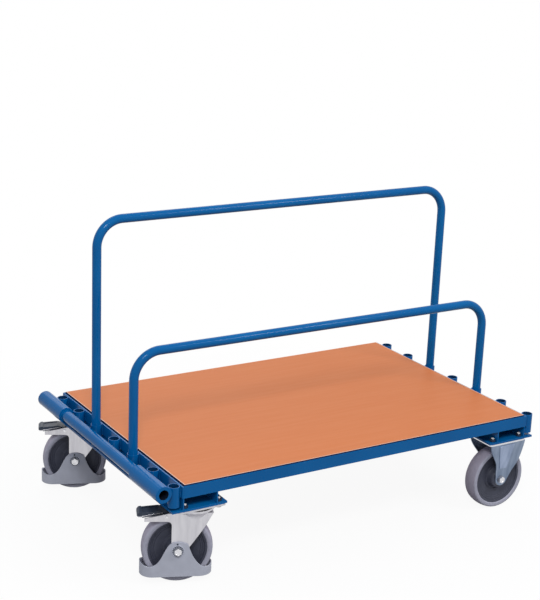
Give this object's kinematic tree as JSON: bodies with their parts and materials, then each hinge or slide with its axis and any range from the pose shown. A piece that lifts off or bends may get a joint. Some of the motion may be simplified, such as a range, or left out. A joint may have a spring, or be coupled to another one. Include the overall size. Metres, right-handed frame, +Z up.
{
  "type": "sheet goods cart",
  "caption": "Low steel platform cart on swivel and fixed castors, with rows of end sockets that hold plug-in hoops so boards and sheets stand upright.",
  "frame": {"origin": "on the floor under the middle of the cart's plan box", "axes": "+X along the deck away from the swivel castors, +Y from front to rear, +Z up"},
  "size_m": [1.3378, 0.8426, 0.9437],
  "materials": {
    "blue_powder_coat": "semi-gloss powder coat, RAL 5010 like",
    "deck_board": "beech decor on wood-based board, satin",
    "zinc_plated_steel": "bright zinc plate on pressed sheet",
    "zinc_fasteners": "bright zinc plate",
    "bearing_steel": "ground steel",
    "grey_tyre": "non-marking grey elastic rubber",
    "wheel_rim": "dark grey moulded polyamide",
    "guard_plastic": "grey moulded plastic",
    "pedal_black": "black moulded plastic over steel"
  },
  "bodies": {
    "chassis": {"front_rail": "blue_powder_coat", "rear_rail": "blue_powder_coat", "left_end_rail": "blue_powder_coat", "right_end_rail": "blue_powder_coat", "left_cross_member": "blue_powder_coat", "right_cross_member": "blue_powder_coat", "left_castor_strip": "blue_powder_coat", "right_castor_strip": "blue_powder_coat", "left_outer_web": "blue_powder_coat", "left_inner_web": "blue_powder_coat", "right_outer_web": "blue_powder_coat", "right_inner_web": "blue_powder_coat", "left_sockets": "blue_powder_coat", "right_sockets": "blue_powder_coat", "side_pipe": "blue_powder_coat", "deck_panel": "deck_board", "deck_screws": "zinc_fasteners", "castor_bolts": "zinc_fasteners", "castor_nuts": "zinc_fasteners", "front_fixed_housing": "zinc_plated_steel", "front_fixed_axle_sleeve": "bearing_steel", "front_fixed_axle_fasteners": "zinc_fasteners", "front_swivel_top_plate": "zinc_plated_steel", "front_swivel_kingpin": "bearing_steel", "rear_fixed_housing": "zinc_plated_steel", "rear_fixed_axle_sleeve": "bearing_steel", "rear_fixed_axle_fasteners": "zinc_fasteners", "rear_swivel_top_plate": "zinc_plated_steel", "rear_swivel_kingpin": "bearing_steel"},
    "low_hoop": {"low_hoop": "blue_powder_coat"},
    "tall_hoop": {"tall_hoop": "blue_powder_coat"},
    "front_fixed_wheel": {"front_fixed_tyre": "grey_tyre", "front_fixed_rim": "wheel_rim", "front_fixed_bearings": "bearing_steel"},
    "front_swivel_fork": {"front_swivel_fork": "zinc_plated_steel", "front_swivel_ball_race": "bearing_steel", "front_swivel_pedal_pin": "zinc_fasteners", "front_swivel_foot_guard": "guard_plastic", "front_swivel_axle_sleeve": "bearing_steel", "front_swivel_axle_fasteners": "zinc_fasteners"},
    "front_swivel_wheel": {"front_swivel_tyre": "grey_tyre", "front_swivel_rim": "wheel_rim", "front_swivel_bearings": "bearing_steel"},
    "front_swivel_pedal": {"front_swivel_brake_pedal": "pedal_black", "front_swivel_brake_shoe": "pedal_black"},
    "rear_fixed_wheel": {"rear_fixed_tyre": "grey_tyre", "rear_fixed_rim": "wheel_rim", "rear_fixed_bearings": "bearing_steel"},
    "rear_swivel_fork": {"rear_swivel_fork": "zinc_plated_steel", "rear_swivel_ball_race": "bearing_steel", "rear_swivel_pedal_pin": "zinc_fasteners", "rear_swivel_foot_guard": "guard_plastic", "rear_swivel_axle_sleeve": "bearing_steel", "rear_swivel_axle_fasteners": "zinc_fasteners"},
    "rear_swivel_wheel": {"rear_swivel_tyre": "grey_tyre", "rear_swivel_rim": "wheel_rim", "rear_swivel_bearings": "bearing_steel"},
    "rear_swivel_pedal": {"rear_swivel_brake_pedal": "pedal_black", "rear_swivel_brake_shoe": "pedal_black"}
  },
  "joints": [
    {"name": "low_hoop_lift", "type": "slide", "parent": "chassis", "child": "low_hoop", "axis": [0, 0, 1], "range_m": [0, 0.08]},
    {"name": "tall_hoop_lift", "type": "slide", "parent": "chassis", "child": "tall_hoop", "axis": [0, 0, 1], "range_m": [0, 0.08]},
    {"name": "front_fixed_wheel_spin", "type": "hinge", "parent": "chassis", "child": "front_fixed_wheel", "pos_m": [0.56716, -0.3643, 0.1], "axis": [0, -1, 0], "continuous": true},
    {"name": "front_swivel_turn", "type": "hinge", "parent": "chassis", "child": "front_swivel_fork", "pos_m": [-0.51284, -0.3643, 0.215], "axis": [0, 0, 1], "continuous": true},
    {"name": "front_swivel_wheel_spin", "type": "hinge", "parent": "front_swivel_fork", "child": "front_swivel_wheel", "pos_m": [-0.55617, -0.34609, 0.1], "axis": [-0.3875, -0.9219, 0], "continuous": true},
    {"name": "front_swivel_brake_press", "type": "hinge", "parent": "front_swivel_fork", "child": "front_swivel_pedal", "pos_m": [-0.58567, -0.33369, 0.2025], "axis": [-0.3875, -0.9219, 0], "range_deg": [0, 9]},
    {"name": "rear_fixed_wheel_spin", "type": "hinge", "parent": "chassis", "child": "rear_fixed_wheel", "pos_m": [0.56716, 0.3357, 0.1], "axis": [0, -1, 0], "continuous": true},
    {"name": "rear_swivel_turn", "type": "hinge", "parent": "chassis", "child": "rear_swivel_fork", "pos_m": [-0.51284, 0.3357, 0.215], "axis": [0, 0, 1], "continuous": true},
    {"name": "rear_swivel_wheel_spin", "type": "hinge", "parent": "rear_swivel_fork", "child": "rear_swivel_wheel", "pos_m": [-0.55617, 0.35391, 0.1], "axis": [-0.3875, -0.9219, 0], "continuous": true},
    {"name": "rear_swivel_brake_press", "type": "hinge", "parent": "rear_swivel_fork", "child": "rear_swivel_pedal", "pos_m": [-0.58567, 0.36631, 0.2025], "axis": [-0.3875, -0.9219, 0], "range_deg": [0, 9]}
  ]
}
